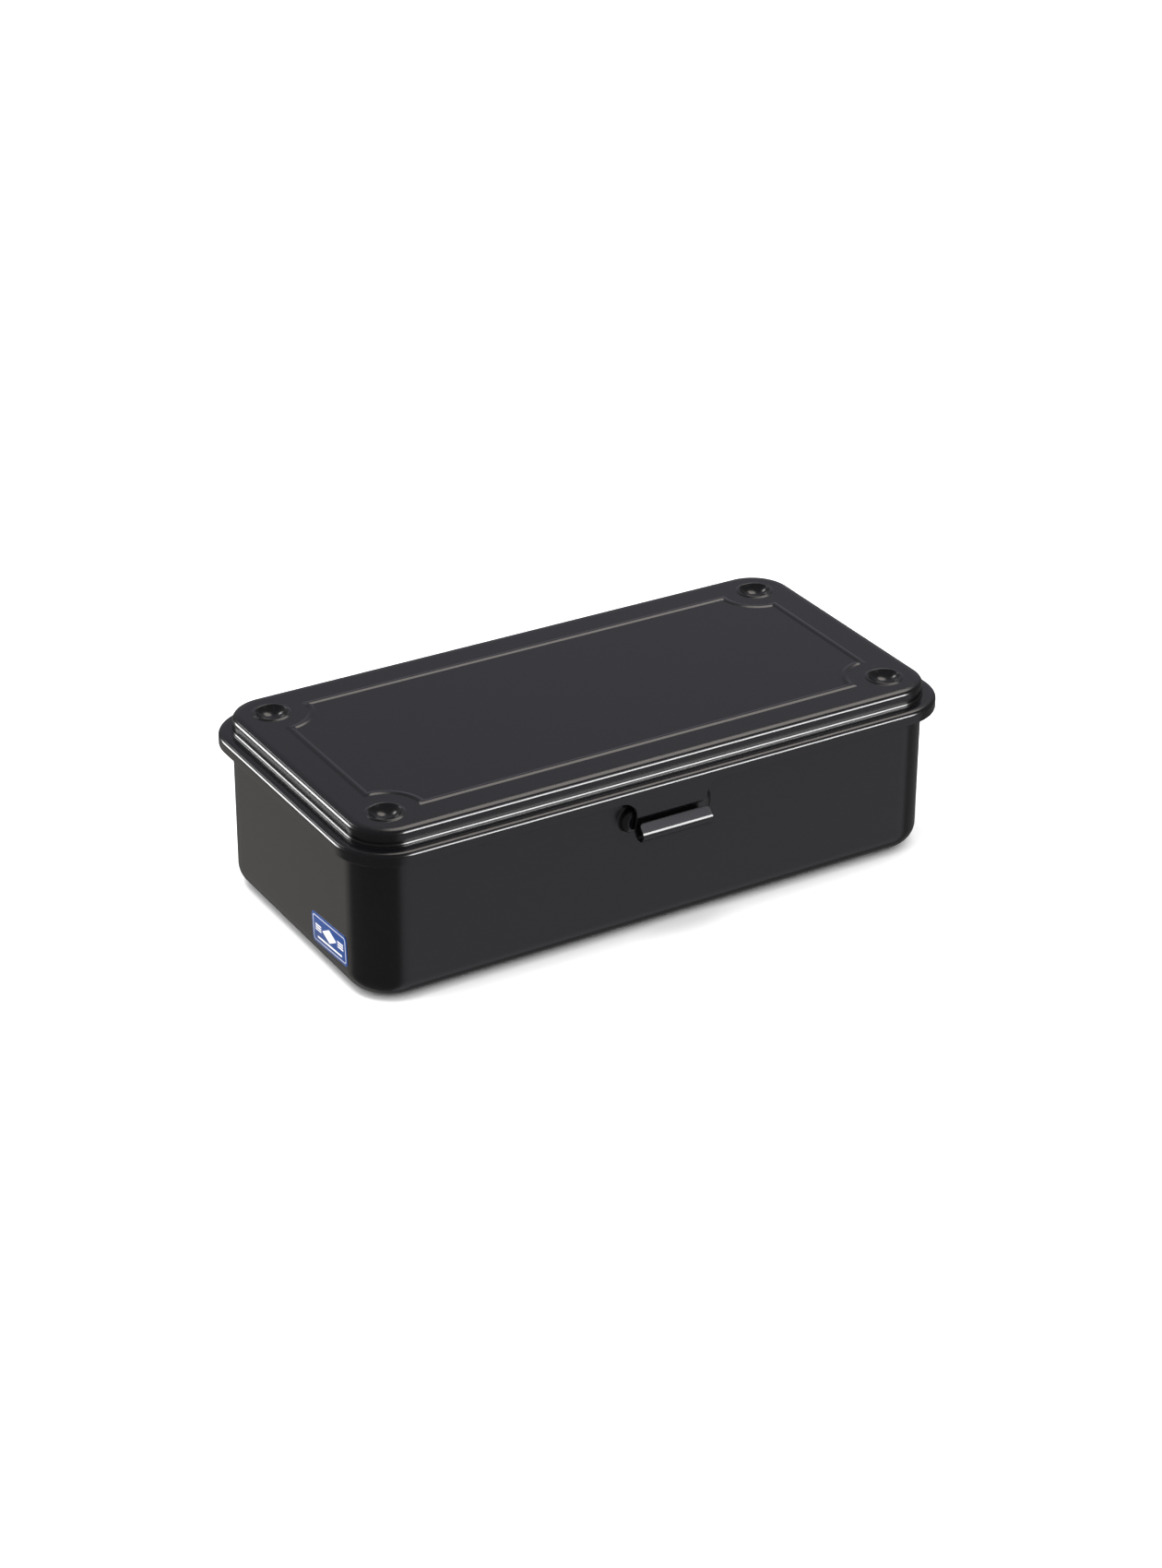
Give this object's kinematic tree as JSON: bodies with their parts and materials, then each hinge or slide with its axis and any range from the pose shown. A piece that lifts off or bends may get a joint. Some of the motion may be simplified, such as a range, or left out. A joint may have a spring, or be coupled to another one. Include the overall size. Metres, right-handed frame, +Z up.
{
  "type": "lunch box",
  "caption": "Low oblong lunch box of pressed painted steel with a hinged, stepped lid, a spring latch tab and stacking bowls.",
  "frame": {"origin": "middle of the whole footprint, latch and hinges included, on the surface that the feet stand on", "axes": "+X along the length, +Y from the latch side to the hinge side, +Z up"},
  "size_m": [0.203, 0.1082, 0.0564],
  "materials": {
    "black_baked_paint": "semi-gloss baked enamel on steel",
    "hinge_paint": "the same enamel, over folded hinge leaves",
    "pin_steel": "drawn steel wire with rubbed ends",
    "label_film": "glossy printed film, blue with white marks"
  },
  "bodies": {
    "tray": {"body_tray": "black_baked_paint", "hinge_left_wall_leaf": "hinge_paint", "hinge_left_pin": "pin_steel", "hinge_right_wall_leaf": "hinge_paint", "hinge_right_pin": "pin_steel", "end_label": "label_film"},
    "lid": {"lid_shell": "black_baked_paint", "hinge_left_lid_leaf": "hinge_paint", "hinge_right_lid_leaf": "hinge_paint"}
  },
  "joints": [
    {"name": "lid_hinge", "type": "hinge", "parent": "tray", "child": "lid", "pos_m": [0, 0.05285, 0.0454], "axis": [-1, 0, 0], "range_deg": [0, 110]}
  ]
}
